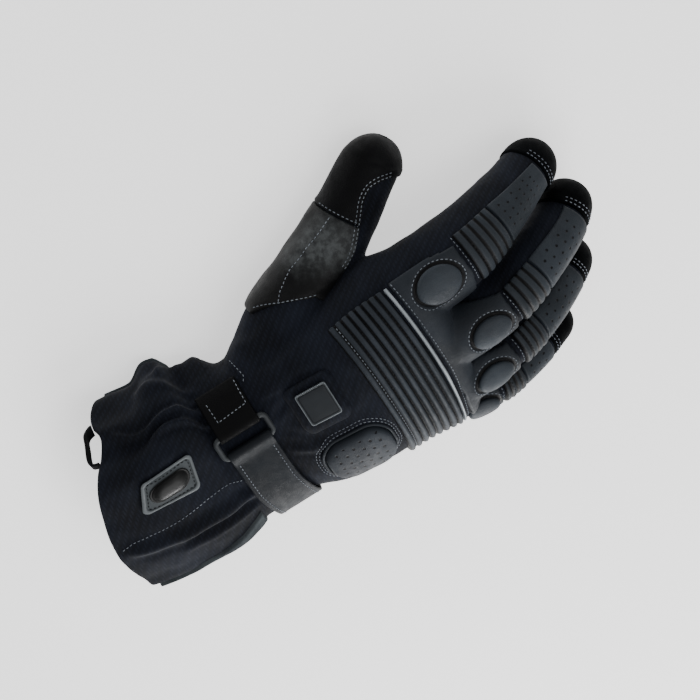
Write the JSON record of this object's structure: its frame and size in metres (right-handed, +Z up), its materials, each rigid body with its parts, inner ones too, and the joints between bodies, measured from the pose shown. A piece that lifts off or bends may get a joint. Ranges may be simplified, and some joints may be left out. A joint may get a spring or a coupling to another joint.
{
  "type": "touring glove",
  "caption": "Padded gauntlet touring glove for the right hand, lying palm down, with pleated leather back, knuckle pads, a wrist strap through a ring, and a wide cuff.",
  "frame": {"origin": "centre of the underside, on the surface that the glove lies on", "axes": "+Y along the hand towards the fingertips, +X towards the little finger, +Z up out of the back of the hand"},
  "size_m": [0.1754, 0.3156, 0.0796],
  "materials": {
    "textile": "matte woven",
    "back_leather": "semi-matte grained",
    "palm_leather": "semi-gloss worn",
    "tip_leather": "matte",
    "gusset_leather": "matte suede",
    "rubber": "matte",
    "gloss_black": "gloss",
    "bezel": "satin silver",
    "reflective": "silver reflective",
    "buckle": "satin",
    "webbing": "matte woven",
    "thread": "matte"
  },
  "bodies": {
    "root": {"hand_back": "textile", "hand_palm": "textile", "thumb": "textile", "cuff": "textile", "palm_panel": "palm_leather", "cuff_palm_panel": "gusset_leather", "back_pleats": "back_leather", "reflective_strip": "reflective", "knuckle_panel": "back_leather", "thumb_panel": "palm_leather", "thumb_tip_panel": "palm_leather", "wrist_guard": "back_leather", "button_pocket": "textile", "button_bezel": "bezel", "button_face": "rubber", "port_frame": "rubber", "port_dome": "gloss_black", "buckle_ring": "buckle", "strap_patch": "palm_leather", "wrist_strap": "back_leather", "pull_loop": "webbing", "index_finger": "textile", "index_knuckle_pad": "back_leather", "index_pleats": "back_leather", "index_back": "back_leather", "index_tip_cap": "tip_leather", "middle_finger": "textile", "middle_knuckle_pad": "back_leather", "middle_pleats": "back_leather", "middle_back": "back_leather", "middle_tip_cap": "tip_leather", "ring_finger": "textile", "ring_knuckle_pad": "back_leather", "ring_pleats": "back_leather", "ring_back": "back_leather", "ring_tip_cap": "tip_leather", "little_finger": "textile", "little_knuckle_pad": "back_leather", "little_pleats": "back_leather", "little_back": "back_leather", "little_tip_cap": "tip_leather"}
  },
  "joints": []
}
